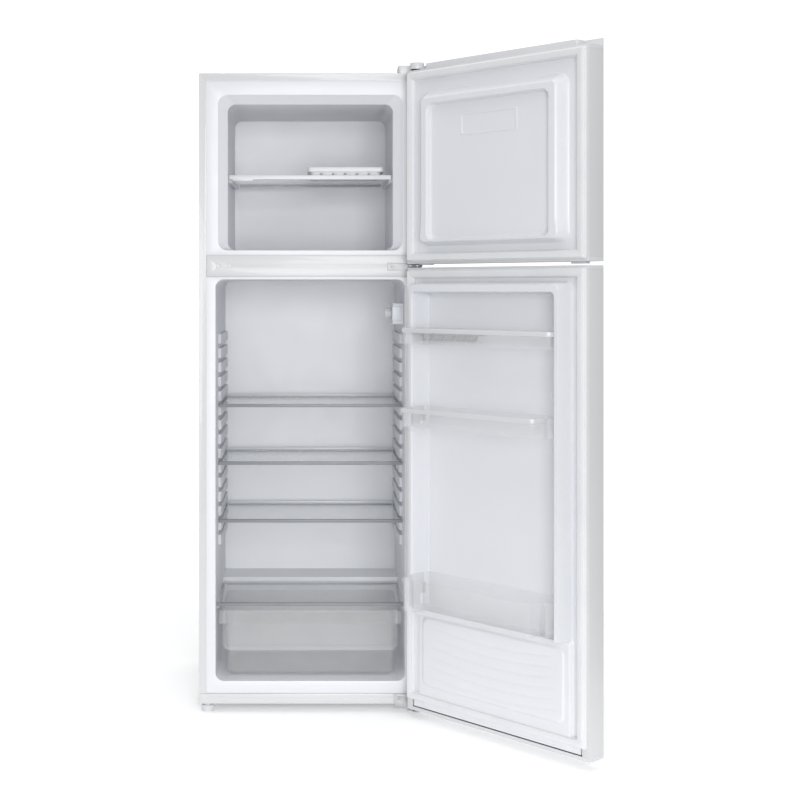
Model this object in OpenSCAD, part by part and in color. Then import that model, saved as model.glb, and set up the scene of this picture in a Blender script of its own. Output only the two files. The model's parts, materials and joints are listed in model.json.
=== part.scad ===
// Two-door top freezer refrigerator, drawn with both doors open.
// Millimetres. X to the right, Y from the front into the cabinet, Z up from the floor.
// Y = 0 is the cabinet's front plane and X = 0 the middle of its width.

/* [Cabinet] */
// Width of the cabinet and of both doors
width = 545; // [500:5:600]
// Height of the steel top above the floor
cab_top = 1563; // [1400:1:1800]
// Depth of the cabinet behind its front plane
cab_d = 495; // [440:5:560]
// Bottom edge of the steel side walls
cab_bot = 23; // [15:1:40]
// Bottom of the foamed body, above the base rail
body_bot = 48; // [40:1:70]
// Thickness of the outer steel sheet
sheet = 0.8; // [0.5:0.1:1.5]
// Width of the steel return around the front
front_lip = 18.6; // [12:0.2:25]
// Wall thickness of the moulded liners
liner_t = 2.5; // [1.5:0.1:4]

/* [Fridge cavity] */
// Half width of the cavity
fr_hw = 231.8; // [200:0.1:250]
// Floor of the cavity
fr_z0 = 78; // [60:1:120]
// Ceiling of the cavity
fr_z1 = 1059; // [900:1:1200]
// Distance from the mouth to the rear wall
fr_d = 430; // [350:1:460]
// Front of the hump over the machine space
hump_y = 308; // [250:1:360]
// Top of the hump over the machine space
hump_z = 271; // [200:1:330]

/* [Freezer cavity] */
// Half width of the cavity behind the lead-in bevel
fz_hw = 203; // [180:0.5:230]
// Half width of the bevel at the mouth
fz_bevel_hw = 225.6; // [200:0.1:245]
// Floor of the cavity
fz_z0 = 1130; // [1080:1:1200]
// Ceiling of the cavity behind the bevel
fz_z1 = 1489; // [1400:1:1540]
// Top of the bevel at the mouth
fz_bevel_z1 = 1510; // [1450:1:1550]
// Depth of the bevel
bevel_d = 20; // [8:1:40]
// Distance from the mouth to the rear wall
fz_d = 385; // [300:1:430]

/* [Doors] */
// Angle both doors stand open at
open_angle = 131.4; // [0:0.1:135]
// Hinge axis inboard of the door's edge
hinge_in = 14; // [8:0.5:20]
// Hinge axis in front of the cabinet
hinge_fwd = 32; // [28:0.5:40]
// Gap between cabinet and door body when shut
seal_gap = 13; // [10:0.5:20]
// Thickness of the door body
door_t = 53.7; // [40:0.1:70]
// Bottom of the fridge door
fd_z0 = 21.5; // [15:0.5:40]
// Top of the fridge door
fd_z1 = 1087.3; // [1000:0.1:1150]
// Bottom of the freezer door
zd_z0 = 1096.1; // [1010:0.1:1160]
// Top of the freezer door at the hinge recess
zd_z1 = 1562.5; // [1500:0.5:1700]
// Top of the freezer door's raised cap
zd_cap = 1579; // [1510:0.5:1720]
// Height of the plastic end caps
cap_h = 9; // [6:0.5:15]
// Rounding of the outer vertical door edges
door_r = 5; // [1:0.5:12]

/* [Shelves] */
// Front edge of the glass shelves
shelf_y0 = 96; // [80:1:130]
// Rear edge of the glass shelves
shelf_y1 = 388; // [300:1:420]
// Thickness of the shelf glass
glass_t = 4; // [3:0.5:6]
// Height of the highest shelf's top face
shelf_top_z = 745.6; // [500:0.1:950]
// Spacing of the wall rails
rail_pitch = 36.2; // [25:0.1:60]
// Height of the crisper cover's top face
cover_z = 258.5; // [200:0.5:300]
// Front edge of the crisper cover and of the crisper
cover_y0 = 40; // [30:1:80]
// Height of the freezer shelf's top face
fz_shelf_z = 1313; // [1200:1:1450]

/* [Bins] */
// Underside of the egg bin
egg_z = 906; // [800:1:1000]
// Height of the egg bin
egg_h = 38; // [25:1:80]
// Underside of the middle bin
mid_z = 713.5; // [500:0.5:880]
// Height of the middle bin
mid_h = 44.5; // [30:0.5:100]
// Underside of the bottle bin
bottle_z = 286; // [275:1:450]
// Height of the bottle bin
bottle_h = 76; // [50:1:130]

/* [Hidden] */
$fn = 48;
eps = 0.01;
hw = width / 2;
hx = hw - hinge_in;
hy = -hinge_fwd;
door_in = -seal_gap;
door_out = -seal_gap - door_t;
pin_r = 4;
pin_play = 0.06;
hinge_t = 3;
mid_hinge_z = (fd_z1 + zd_z0) / 2;
cross_z0 = 1066;
cross_z1 = 1118;
rim_y = sheet + 0.1;
mouth_y = 4.7;
rim_hw = hw - 10.5;
foam_gap = 0.3;
machine_y = hump_y + 44;
machine_z = hump_z - 48;
screw_r = 2.4;
screw_x = [199, 227];
screw_z = 1091.5;
low_screw_x = [214, 242];
low_screw_z = 36;
top_screws = [[228, 30], [255, 52]];
foot_x = hw - 20.5;
foot_y = 25;
foot_r = 14.5;
dyke_in = 58.5;
dyke_out = 44.5;
dyke_h = 46;
recess_y = -21;
fz_face_y = 15;
fz_floor_y = 1.4;
lower_panel_z = 272;
box_x = 205;
box_y0 = 64;
box_y1 = 180;
box_z0 = 948;
box_z1 = 1001;
dial_y = 132;
dial_z = 976;
rail_first = -9;
rail_last = 5;
seam = 0.12;
shelf_steps = [0, -4, -8];

white = [0.94, 0.94, 0.94];
liner_white = [0.9, 0.91, 0.92];
trim_grey = [0.55, 0.57, 0.59];
zinc = [0.62, 0.63, 0.64];
black = [0.12, 0.12, 0.13];
copper = [0.72, 0.45, 0.3];
foam_col = [0.93, 0.87, 0.68];
clear = [0.85, 0.9, 0.93, 0.4];

function shelf_z(i) = shelf_top_z + rail_pitch * shelf_steps[i];

// ---------- shared shapes ----------

module rrect(a, b, r) {
  translate([a[0] + r, a[1]])
    square([b[0] - a[0] - 2 * r, b[1] - a[1]]);
  translate([a[0], a[1] + r])
    square([b[0] - a[0], b[1] - a[1] - 2 * r]);
  for (x = [a[0] + r, b[0] - r], y = [a[1] + r, b[1] - r])
    translate([x, y])
      circle(r);
}

// Draws a front-view outline as a slab from depth y0 with thickness t.
module xz(y0, t) {
  translate([0, y0 + t, 0])
    rotate([90, 0, 0])
      linear_extrude(t)
        children();
}

// Draws a side-view outline as a slab from x0 with thickness t.
module yz(x0, t) {
  translate([x0, 0, 0])
    rotate([90, 0, 90])
      linear_extrude(t)
        children();
}

// Draws a plan outline as a slab from height z0 with thickness t.
module xy(z0, t) {
  translate([0, 0, z0])
    linear_extrude(t)
      children();
}

module box(a, b) {
  translate(a)
    cube([b[0] - a[0], b[1] - a[1], b[2] - a[2]]);
}

module frame_slab(hx0, z0, z1, r, y) {
  xz(y, eps)
    rrect([-hx0, z0], [hx0, z1], r);
}

// Turns shut-position geometry to the open door position.
module swung() {
  translate([hx, hy, 0])
    rotate([0, 0, open_angle])
      translate([-hx, -hy, 0])
        children();
}

module both_sides() {
  children();
  mirror([1, 0, 0])
    children();
}

// ---------- cavities, grown by g on every face ----------

module fridge_pocket(g, y0) {
  difference() {
    xz(y0, fr_d + g - y0)
      rrect([-fr_hw - g, fr_z0 - g], [fr_hw + g, fr_z1 + g], 20 + g);
    box([-hw, hump_y + g, 0], [hw, cab_d, hump_z - g]);
  }
}

module freezer_pocket(g, y0) {
  xz(y0, mouth_y - y0)
    rrect([-fz_bevel_hw - g, fz_z0 - g], [fz_bevel_hw + g, fz_bevel_z1 + g], 24 + g);
  hull() {
    frame_slab(fz_bevel_hw + g, fz_z0 - g, fz_bevel_z1 + g, 24 + g, mouth_y - eps);
    frame_slab(fz_hw + g, fz_z0 - g, fz_z1 + g, 20 + g, bevel_d);
  }
  xz(bevel_d, fz_d + g - bevel_d)
    rrect([-fz_hw - g, fz_z0 - g], [fz_hw + g, fz_z1 + g], 20 + g);
}

// ---------- cabinet ----------

module shell_outline(g) {
  square_w = hw - g;
  translate([-square_w, cab_bot - 1])
    square([2 * square_w, cab_top - g - cab_bot + 1]);
}

module top_screw_holes(r, z0, z1) {
  for (p = top_screws)
    both_sides()
      translate([p[0], p[1], z0])
        cylinder(r = r, h = z1 - z0);
}

module outer_shell() {
  color(white)
    difference() {
      union() {
        difference() {
          box([-hw, 0, cab_bot], [hw, cab_d, cab_top]);
          xz(-1, cab_d + 2)
            shell_outline(sheet);
        }
        difference() {
          box([-hw, 0, body_bot], [hw, sheet, cab_top]);
          box([front_lip - hw, -1, 0], [hw - front_lip, 2, cab_top - front_lip]);
        }
        difference() {
          box([-hw, cab_d - sheet, cab_bot], [hw, cab_d, cab_top]);
          box([15 - hw, cab_d - 2, 0], [hw - 15, cab_d + 1, cab_top - 15]);
        }
      }
      both_sides()
        translate([hw - front_lip / 2, 0, cab_top - front_lip / 2])
          rotate([0, 45, 0])
            translate([-0.25, -0.4, -front_lip / 2])
              cube([0.5, 0.8, front_lip]);
      top_screw_holes(screw_r + 0.2, cab_top - 5, cab_top + 5);
    }
}

module back_panel() {
  color(zinc)
    difference() {
      box([1 - hw, cab_d - 1.8, machine_z + 2], [hw - 1, cab_d - 0.9, cab_top - 1]);
      for (z = [420 : 180 : 1320])
        box([-150, cab_d - 1.2, z], [150, cab_d, z + 6]);
    }
}

// Thin seams that part the foam into blocks, so that each one is nearly convex.
module foam_seams() {
  z_low = fr_z0 + 22;
  z_top = fr_z1 - 23;
  z_mid = (fr_z1 + fz_z0) / 2;
  fz_low = fz_z0 + 25;
  fz_top = fz_z1 - 25;
  box([-hw, 0, z_low], [hw, hump_y + 1, z_low + seam]);
  for (z = [hump_z - 1, z_top, z_mid, fz_low, fz_top])
    box([-hw, 0, z], [hw, cab_d, z + seam]);
  box([-hw, hump_y + 1, 0], [hw, hump_y + 1 + seam, hump_z - 0.9]);
  box([-hw, hump_y + 1, machine_z + 1.4], [hw, cab_d, machine_z + 1.4 + seam]);
  box([-hw, fr_d - 4, hump_z - 1], [hw, fr_d - 4 + seam, z_top + 0.1]);
  box([-hw, fz_d - 4, fz_low], [hw, fz_d - 4 + seam, fz_top + 0.1]);
  both_sides() {
    box([200, 0, 0], [200 + seam, hump_y + 1, z_low + 0.1]);
    box([200, 0, z_top], [200 + seam, cab_d, z_mid + 0.1]);
    box([175, 0, z_mid], [175 + seam, cab_d, fz_low + 0.1]);
    box([175, 0, fz_top], [175 + seam, cab_d, cab_top]);
  }
}

module insulation() {
  color(foam_col)
    difference() {
      box([1.2 - hw, rim_y + liner_t + 0.3, body_bot + 1.4],
          [hw - 1.2, cab_d - 2, cab_top - 1.2]);
      fridge_pocket(liner_t + foam_gap, 0);
      freezer_pocket(liner_t + foam_gap, -1);
      foam_seams();
      box([-hw, machine_y - 1.2, 0], [hw, cab_d, machine_z + 1.2]);
      box([-hw, 0, cross_z0 - 0.5], [hw, 17, cross_z1 + 0.5]);
      box([-hw, 60, 300], [-hw + 8, 440, 1420]);
      box([-160, fz_d + liner_t, fz_z0 + 30], [160, fz_d + liner_t + 8, fz_z1 - 30]);
      box([-160, fr_d + liner_t, 480], [160, fr_d + liner_t + 8, 900]);
      box([-6, fr_d + liner_t, 880], [6, fr_d + liner_t + 8, 1110]);
      box([-6, fz_d + liner_t, 1096], [6, fr_d + liner_t + 8, 1110]);
      box([-6, fz_d + liner_t, 1096], [6, fz_d + liner_t + 8, fz_z0 + 35]);
      top_screw_holes(screw_r + 0.3, cab_top - 20, cab_top);
      for (x = screw_x)
        both_sides()
          translate([x, 40, screw_z])
            rotate([90, 0, 0])
              cylinder(r = screw_r + 0.3, h = 30);
    }
}

module side_rail(i) {
  z = shelf_top_z - glass_t - 0.4 + i * rail_pitch;
  y0 = shelf_y0 + 16;
  y1 = shelf_y1 + 6;
  xy(z - 24, 24)
    polygon([
      [fr_hw + 1, y0],
      [fr_hw - 6, y0 + 4],
      [fr_hw - 8.5, y0 + 14],
      [fr_hw - 8.5, y1 - 8],
      [fr_hw - 4, y1],
      [fr_hw + 1, y1]
    ]);
}

module fridge_liner() {
  color(liner_white) {
    difference() {
      union() {
        fridge_pocket(liner_t, rim_y);
        xz(rim_y, liner_t)
          translate([-rim_hw, body_bot + 0.3])
            square([2 * rim_hw, cross_z0 - body_bot - 0.6]);
      }
      fridge_pocket(0, -1);
    }
    both_sides() {
      for (i = [rail_first : rail_last])
        side_rail(i);
      xy(cover_z - glass_t - 10.4, 10)
        polygon([
          [fr_hw + 1, cover_y0 + 16],
          [fr_hw - 5, cover_y0 + 22],
          [fr_hw - 5, hump_y - 2],
          [fr_hw + 1, hump_y - 2]
        ]);
    }
  }
}

module freezer_liner() {
  color(liner_white) {
    difference() {
      union() {
        freezer_pocket(liner_t, rim_y);
        xz(rim_y, liner_t)
          translate([-rim_hw, cross_z1 + 0.3])
            square([2 * rim_hw, cab_top - 10.5 - cross_z1]);
      }
      freezer_pocket(0, -1);
    }
    both_sides()
      xy(fz_shelf_z - glass_t - 8.2, 8)
        polygon([
          [fz_hw + 1, 62],
          [fz_hw - 8, 70],
          [fz_hw - 12, 330],
          [fz_hw - 3, 338]
        ]);
  }
}

module crossbar_holes(r) {
  for (x = screw_x)
    both_sides()
      translate([x, 5, screw_z])
        rotate([90, 0, 0])
          cylinder(r = r, h = 12);
}

module front_crossbar() {
  color(white)
    difference() {
      box([front_lip + 0.4 - hw, 0.05, cross_z0], [hw - front_lip - 0.4, 16, cross_z1]);
      box([-hw, 1.6, cross_z0 + 1.5], [hw, 20, cross_z1 - 1.5]);
      crossbar_holes(screw_r + 0.2);
    }
}

module base_rail() {
  color(white)
    difference() {
      union() {
        box([1 - hw, 0, cab_bot], [hw - 1, 1.2, body_bot - 0.3]);
        box([1.2 - hw, 1.2, cab_bot], [hw - 1.2, 46, cab_bot + 2]);
        box([1.2 - hw, 1.2, body_bot - 2], [hw - 1.2, 14, body_bot - 0.3]);
      }
      both_sides() {
        translate([foot_x, foot_y, cab_bot - 1])
          cylinder(r = 5.08, h = 5);
        for (x = low_screw_x)
          translate([x, 5, low_screw_z])
            rotate([90, 0, 0])
              cylinder(r = screw_r + 0.2, h = 12);
      }
    }
}

module bottom_plate() {
  color(zinc)
    yz(1 - hw, width - 2)
      polygon([
        [15, body_bot + 0.2],
        [machine_y, body_bot + 0.2],
        [machine_y, machine_z],
        [cab_d - 2, machine_z],
        [cab_d - 2, machine_z + 1],
        [machine_y - 1, machine_z + 1],
        [machine_y - 1, body_bot + 1.2],
        [15, body_bot + 1.2]
      ]);
}

module compressor_base() {
  color(zinc)
    difference() {
      union() {
        box([1.2 - hw, machine_y + 2, cab_bot + 1], [hw - 1.2, cab_d - 2, cab_bot + 3]);
        box([1.2 - hw, machine_y + 2, cab_bot + 1], [hw - 1.2, machine_y + 4, cab_bot + 15]);
        for (x = [-180, -120])
          box([x - 1, cab_d - 50, cab_bot + 3], [x + 1, cab_d - 10, cab_bot + 24]);
        box([-180, cab_d - 14, cab_bot + 3], [-120, cab_d - 12, cab_bot + 44]);
      }
      for (x = [20, 140], y = [machine_y + 22, cab_d - 28])
        translate([x, y, cab_bot - 1])
          cylinder(r = 5.2, h = 6);
      translate([-150, cab_d - 20, cab_bot + 30])
        rotate([-90, 0, 0])
          cylinder(r = 7.1, h = 15);
      both_sides()
        translate([foot_x - 12, cab_d - 30, cab_bot - 1])
          cylinder(r = 4.1, h = 8);
    }
}

module rear_feet() {
  color(black)
    both_sides()
      translate([foot_x - 12, cab_d - 30, 0]) {
        cylinder(r = 13, h = cab_bot + 1);
        cylinder(r = 4, h = cab_bot + 6);
      }
}

module compressor_shape() {
  rotate_extrude()
    polygon([
      [0, 0], [48, 0], [56, 6], [59, 16], [59, 62], [61, 62], [61, 66], [59, 66],
      [58, 96], [52, 112], [40, 122], [22, 128], [0, 130]
    ]);
}

module compressor() {
  color(black)
    difference() {
      union() {
        translate([80, (machine_y + cab_d) / 2 - 3, cab_bot + 14])
          compressor_shape();
        box([8, machine_y + 10, cab_bot + 11], [152, cab_d - 16, cab_bot + 14]);
      }
      for (x = [20, 140], y = [machine_y + 22, cab_d - 28])
        translate([x, y, cab_bot + 5])
          cylinder(r = 6.3, h = 12);
    }
}

module compressor_grommets() {
  color([0.2, 0.2, 0.2])
    for (x = [20, 140], y = [machine_y + 22, cab_d - 28])
      translate([x, y, cab_bot + 0.5]) {
        cylinder(r = 5, h = 20);
        translate([0, 0, 2.6])
          cylinder(r = 9, h = 7.8);
        translate([0, 0, 13.6])
          cylinder(r = 9, h = 4);
      }
}

module relay_cover() {
  yc = (machine_y + cab_d) / 2 - 3;
  color(black)
    difference() {
      box([-12, yc - 22, cab_bot + 50], [14, yc + 22, cab_bot + 96]);
      translate([80, yc, cab_bot])
        cylinder(r = 61.4, h = 120);
      box([-10, yc - 20, cab_bot + 52], [30, yc + 20, cab_bot + 94]);
    }
}

module condenser() {
  x = -hw + 4.4;
  step = 40;
  color(copper)
    for (k = [0 : 8]) {
      y = 90 + k * step;
      translate([x, y, 340])
        cylinder(r = 2.4, h = 1040);
      if (k < 8)
        translate([x, y + step / 2, k % 2 == 0 ? 1380 : 340])
          rotate([0, 0, 90])
            rotate([90, 0, 0])
              rotate([0, 0, k % 2 == 0 ? 0 : 180])
                rotate_extrude(angle = 180)
                  translate([step / 2, 0])
                    circle(r = 2.4, $fn = 24);
    }
}

module filter_drier() {
  translate([-60, machine_y + 40, cab_bot + 60]) {
    cylinder(r = 8, h = 90);
    translate([0, 0, 90])
      cylinder(r1 = 8, r2 = 2.5, h = 12);
    translate([0, 0, -12])
      cylinder(r1 = 2.5, r2 = 8, h = 12);
  }
}

module tube(a, b, r) {
  d = b - a;
  len = norm(d);
  translate(a)
    rotate([0, acos(d[2] / len), atan2(d[1], d[0])])
      cylinder(r = r, h = len, $fn = 24);
}

module pipe_run(pts, r) {
  for (i = [0 : len(pts) - 2])
    tube(pts[i], pts[i + 1], r);
  for (i = [1 : len(pts) - 2])
    translate(pts[i])
      sphere(r, $fn = 24);
}

module gas_pipes() {
  yc = (machine_y + cab_d) / 2 - 3;
  zt = machine_z - 3;
  color(copper) {
    pipe_run([[142, yc, 90], [168, yc, 90], [168, yc, zt]], 3);
    filter_drier();
    pipe_run([[-60, machine_y + 40, cab_bot + 160],
              [-60, machine_y + 40, zt]], 1.6);
    pipe_run([[-60, machine_y + 40, cab_bot + 50], [-60, machine_y + 40, cab_bot + 34],
              [-100, machine_y + 40, cab_bot + 34], [-100, machine_y + 40, zt]], 2.5);
    pipe_run([[80, cab_d - 14.5, 80], [80, cab_d - 8, 80], [200, cab_d - 8, 80],
              [200, cab_d - 8, zt]], 2.5);
  }
}

module evaporation_pan() {
  yc = (machine_y + cab_d) / 2 - 3;
  color(black)
    difference() {
      xy(machine_z - 54, 24)
        rrect([32, yc - 48], [128, yc + 48], 12);
      xy(machine_z - 52, 30)
        rrect([34, yc - 46], [126, yc + 46], 10);
    }
}

module cord_gland() {
  color(black)
    translate([-150, 0, cab_bot + 30])
      rotate([-90, 0, 0])
        difference() {
          union() {
            translate([0, 0, cab_d - 20])
              cylinder(r = 10, h = 5.9);
            translate([0, 0, cab_d - 20])
              cylinder(r = 7, h = 14);
            translate([0, 0, cab_d - 11.9])
              cylinder(r = 10, h = 4);
          }
          translate([0, 0, cab_d - 30])
            cylinder(r = 3.6, h = 40);
        }
}

module evaporator() {
  color([0.75, 0.76, 0.78]) {
    box([-150, fz_d + liner_t + 2.4, fz_z0 + 40], [150, fz_d + liner_t + 4, fz_z1 - 40]);
    box([-150, fr_d + liner_t + 2.4, 490], [150, fr_d + liner_t + 4, 890]);
    box([-3, fr_d + liner_t + 2.4, 885], [3, fr_d + liner_t + 7, 1106]);
    box([-3, fz_d + liner_t + 2.4, 1100], [3, fr_d + liner_t + 7, 1106]);
    box([-3, fz_d + liner_t + 2.4, 1100], [3, fz_d + liner_t + 7, fz_z0 + 45]);
    for (k = [0 : 5])
      box([-140, fz_d + liner_t + 3.9, fz_z0 + 60 + k * 40],
          [140, fz_d + liner_t + 6.5, fz_z0 + 66 + k * 40]);
    for (k = [0 : 8])
      box([-140, fr_d + liner_t + 3.9, 510 + k * 42],
          [140, fr_d + liner_t + 6.5, 516 + k * 42]);
  }
}

// ---------- hinges ----------

module hinge_pin(z0, z1) {
  translate([hx, hy, z0])
    cylinder(r = pin_r, h = z1 - z0);
}

module top_hinge() {
  z = cab_top + 0.2;
  color(black)
    difference() {
      union() {
        xy(z, hinge_t) {
          rrect([220, 6], [266, 68], 4);
          translate([248, hy])
            square([18, 45]);
          translate([hx, hy])
            circle(12);
        }
        hinge_pin(zd_z1 - 22, z + 1);
        translate([hx, hy, z + 1])
          cylinder(r = 6, h = hinge_t + 1);
      }
      for (p = top_screws)
        translate([p[0], p[1], z - 1])
          cylinder(r = screw_r + 0.2, h = 10);
    }
}

module cover_plan(g) {
  rrect([216 + g, 3 + g], [270 - g, 72 - g], 7 - g);
  translate([244 + g, hy])
    square([26 - 2 * g, 50]);
  translate([hx, hy])
    circle(17 - g);
}

module top_hinge_cover() {
  color(white)
    difference() {
      xy(cab_top + 0.1, 19)
        cover_plan(0);
      xy(cab_top - 1, 18)
        cover_plan(2);
      box([240, hy - 30, cab_top - 1], [280, 2.9, cab_top + 3.6]);
      box([246, 0, cab_top - 1], [268, 10, cab_top + 3.6]);
    }
}

module middle_hinge() {
  z = mid_hinge_z - hinge_t / 2;
  color(zinc)
    difference() {
      union() {
        box([188, -2.5, 1081.2], [264, 0, 1099]);
        xy(z, hinge_t) {
          translate([238, hy])
            square([26, 31]);
          translate([hx, hy])
            circle(13);
        }
        hinge_pin(fd_z1 - 20, zd_z0 + 20);
      }
      for (x = screw_x)
        translate([x, 5, screw_z])
          rotate([90, 0, 0])
            cylinder(r = screw_r + 0.2, h = 12);
    }
}

module bottom_hinge() {
  color(zinc)
    difference() {
      union() {
        box([204, -2.6, 14.5], [264, -0.1, 46]);
        xy(14.5, hinge_t) {
          translate([238, hy])
            square([26, 31]);
          translate([hx, hy])
            circle(13);
        }
        hinge_pin(14.5, fd_z0 + 22);
      }
      for (x = low_screw_x)
        translate([x, 5, low_screw_z])
          rotate([90, 0, 0])
            cylinder(r = screw_r + 0.2, h = 12);
    }
}

module front_screw(x, y, z) {
  translate([x, y, z])
    rotate([-90, 0, 0])
      difference() {
        union() {
          translate([0, 0, -2.2])
            cylinder(r = 4.6, h = 2.2);
          cylinder(r = screw_r, h = 14);
        }
        for (a = [0, 90])
          rotate([0, 0, a])
            translate([-2.6, -0.5, -3])
              cube([5.2, 1, 2]);
      }
}

module hinge_screws() {
  color(zinc) {
    for (x = screw_x)
      front_screw(x, -2.5, screw_z);
    for (x = low_screw_x)
      front_screw(x, -2.6, low_screw_z);
    for (p = top_screws)
      translate([p[0], p[1], cab_top + 0.2 + hinge_t])
        difference() {
          union() {
            cylinder(r = 5, h = 2.4);
            translate([0, 0, -16])
              cylinder(r = screw_r, h = 16.5);
          }
          for (a = [0, 90])
            rotate([0, 0, a])
              translate([-2.6, -0.5, 1])
                cube([5.2, 1, 3]);
        }
  }
}

module hole_plugs() {
  color(white) {
    for (x = screw_x)
      translate([-x, 0, screw_z])
        rotate([-90, 0, 0]) {
          translate([0, 0, -1.2])
            cylinder(r = 4.2, h = 1.2);
          cylinder(r = screw_r, h = 8);
        }
    for (x = low_screw_x)
      translate([-x, -0.1, low_screw_z])
        rotate([-90, 0, 0]) {
          translate([0, 0, -1.2])
            cylinder(r = 4.2, h = 1.2);
          cylinder(r = screw_r, h = 8);
        }
    for (p = top_screws)
      translate([-p[0], p[1], cab_top]) {
        cylinder(r = 4.5, h = 1.2);
        translate([0, 0, -8])
          cylinder(r = screw_r, h = 8.2);
      }
  }
}

// ---------- lamp and thermostat ----------

module control_box() {
  color(white)
    difference() {
      yz(box_x, fr_hw - 0.4 - box_x)
        rrect([box_y0, box_z0], [box_y1, box_z1], 5);
      yz(box_x + 2, 60)
        rrect([box_y0 + 2, box_z0 + 2], [box_y1 - 2, box_z1 - 2], 4);
      box([box_x - 1, box_y0 - 1, box_z0 + 8], [box_x + 3, box_y0 + 42, box_z1 - 8]);
      box([box_x - 1, box_y0 - 1, box_z0 + 8], [fr_hw - 4, box_y0 + 3, box_z1 - 8]);
      translate([box_x - 1, dial_y, dial_z])
        rotate([0, 90, 0])
          cylinder(r = 4.06, h = 6);
    }
}

module lamp_lens() {
  color(clear)
    difference() {
      box([box_x - 1, box_y0 - 1, box_z0 + 8.2],
          [fr_hw - 4.2, box_y0 + 41.8, box_z1 - 8.2]);
      box([box_x + 0.8, box_y0 + 0.8, box_z0 + 6],
          [240, box_y0 + 50, box_z1 - 6]);
    }
}

module lamp_bulb() {
  color([0.95, 0.93, 0.85])
    translate([box_x + 12, box_y0 + 12, (box_z0 + box_z1) / 2])
      rotate([-90, 0, 0]) {
        sphere(7);
        cylinder(r = 4, h = 20);
        translate([0, 0, 14])
          cylinder(r = 7, h = 12);
      }
}

module thermostat_dial() {
  color(white)
    translate([box_x, dial_y, dial_z])
      rotate([0, -90, 0])
        difference() {
          union() {
            translate([0, 0, -6])
              cylinder(r = 4, h = 7);
            translate([0, 0, 0.4])
              cylinder(r = 14, h = 4);
            translate([0, 0, 4.4])
              cylinder(r = 12.5, h = 12.4);
          }
          for (a = [0 : 30 : 359])
            rotate([0, 0, a])
              translate([13.4, 0, 5.4])
                cylinder(r = 1.8, h = 14);
          translate([-0.6, 4, 16])
            cube([1.2, 8, 2]);
        }
}

// ---------- feet ----------

module foot(x) {
  color([0.6, 0.61, 0.62])
    translate([x, foot_y, 0]) {
      difference() {
        cylinder(r = foot_r, h = 15);
        for (a = [0 : 30 : 359])
          rotate([0, 0, a])
            translate([foot_r + 0.6, 0, 5])
              cylinder(r = 1.6, h = 12);
      }
      cylinder(r = 9, h = cab_bot - 0.2);
      cylinder(r = 5, h = cab_bot + 16);
    }
}

module foot_left() {
  foot(-foot_x);
}

module foot_right() {
  foot(foot_x);
}

// ---------- shelves ----------

module shelf_plan(y0, y1, gap) {
  a = fr_hw - gap;
  b = fr_hw - gap;
  polygon([[-a, y0], [a, y0], [b, y1], [-b, y1]]);
}

module shelf_glass(z, y0, y1) {
  color(clear)
    xy(z - glass_t - 0.2, glass_t)
      shelf_plan(y0 + 4, y1 - 3, 2.2);
}

module shelf_trim(z, y0, y1, lip) {
  color(trim_grey)
    difference() {
      union() {
        xy(z - glass_t - 2.4, glass_t + 3.4)
          shelf_plan(y0, y0 + 12, 1.3);
        xy(z - glass_t - 1.6, glass_t + 1.6 + lip)
          shelf_plan(y1 - 4, y1, 3);
        xy(z - glass_t - 1.6, glass_t + 2.8)
          shelf_plan(y1 - 10, y1 - 3, 3);
      }
      xy(z - glass_t - 0.25, glass_t + 0.1)
        shelf_plan(y0 + 3.9, y1 - 2.9, 0);
      both_sides()
        box([fr_hw - 12, y1 - 14, z - 20], [hw, y1 + 1, z - glass_t - 0.25]);
    }
}

module shelf_high_glass() {
  shelf_glass(shelf_z(0), shelf_y0, shelf_y1);
}

module shelf_high_trim() {
  shelf_trim(shelf_z(0), shelf_y0, shelf_y1, 6);
}

module shelf_middle_glass() {
  shelf_glass(shelf_z(1), shelf_y0, shelf_y1);
}

module shelf_middle_trim() {
  shelf_trim(shelf_z(1), shelf_y0, shelf_y1, 6);
}

module shelf_low_glass() {
  shelf_glass(shelf_z(2), shelf_y0, shelf_y1);
}

module shelf_low_trim() {
  shelf_trim(shelf_z(2), shelf_y0, shelf_y1, 6);
}

module cover_glass() {
  shelf_glass(cover_z, cover_y0, hump_y - 1);
}

module cover_trim() {
  shelf_trim(cover_z, cover_y0, hump_y - 1, 2);
}

module crisper_slab(hw0, y0, y1, r, z) {
  xy(z, eps)
    rrect([-hw0, y0], [hw0, y1], r);
}

module crisper() {
  y0 = cover_y0 + 4;
  y1 = hump_y - 5;
  z0 = fr_z0 + 1;
  z1 = cover_z - 20;
  color(clear)
    difference() {
      union() {
        hull() {
          crisper_slab(196, y0 + 14, y1 - 12, 10, z0);
          crisper_slab(208, y0 + 4, y1 - 3, 18, z0 + 9);
          crisper_slab(214, y0, y1, 20, z1);
        }
        xy(z1 - 5, 5)
          rrect([-219.5, y0 + 2], [219.5, y1], 20);
        xz(cover_y0, 8)
          rrect([-225, z1 - 30], [225, z1 + 3], 3);
        box([-206, cover_y0 + 1.5, z0 + 75], [206, y0 + 6, z0 + 77.5]);
      }
      hull() {
        crisper_slab(194.5, y0 + 15.5, y1 - 13.5, 9, z0 + 2.5);
        crisper_slab(205.5, y0 + 6.5, y1 - 5.5, 16, z0 + 10);
        crisper_slab(211.5, y0 + 3, y1 - 2.5, 18, z1 + 4);
      }
      box([-190, cover_y0 + 2.5, z1 - 40], [190, cover_y0 + 5.5, z1 - 4]);
    }
}

module freezer_shelf_plate() {
  z = fz_shelf_z;
  color(clear)
    box([-194, 52, z - glass_t], [194, 336, z]);
}

module freezer_shelf_trim() {
  z = fz_shelf_z;
  color(white)
    difference() {
      union() {
        box([-200.5, 45, z - 6.5], [200.5, 57, z + 4.5]);
        box([-192, 45, z - 10], [-142, 49, z - 5]);
        box([-188, 327, z - 7], [188, 338, z + 3]);
      }
      box([-194.1, 51.9, z - glass_t - 0.05], [194.1, 336.1, z + 0.05]);
    }
}

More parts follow.
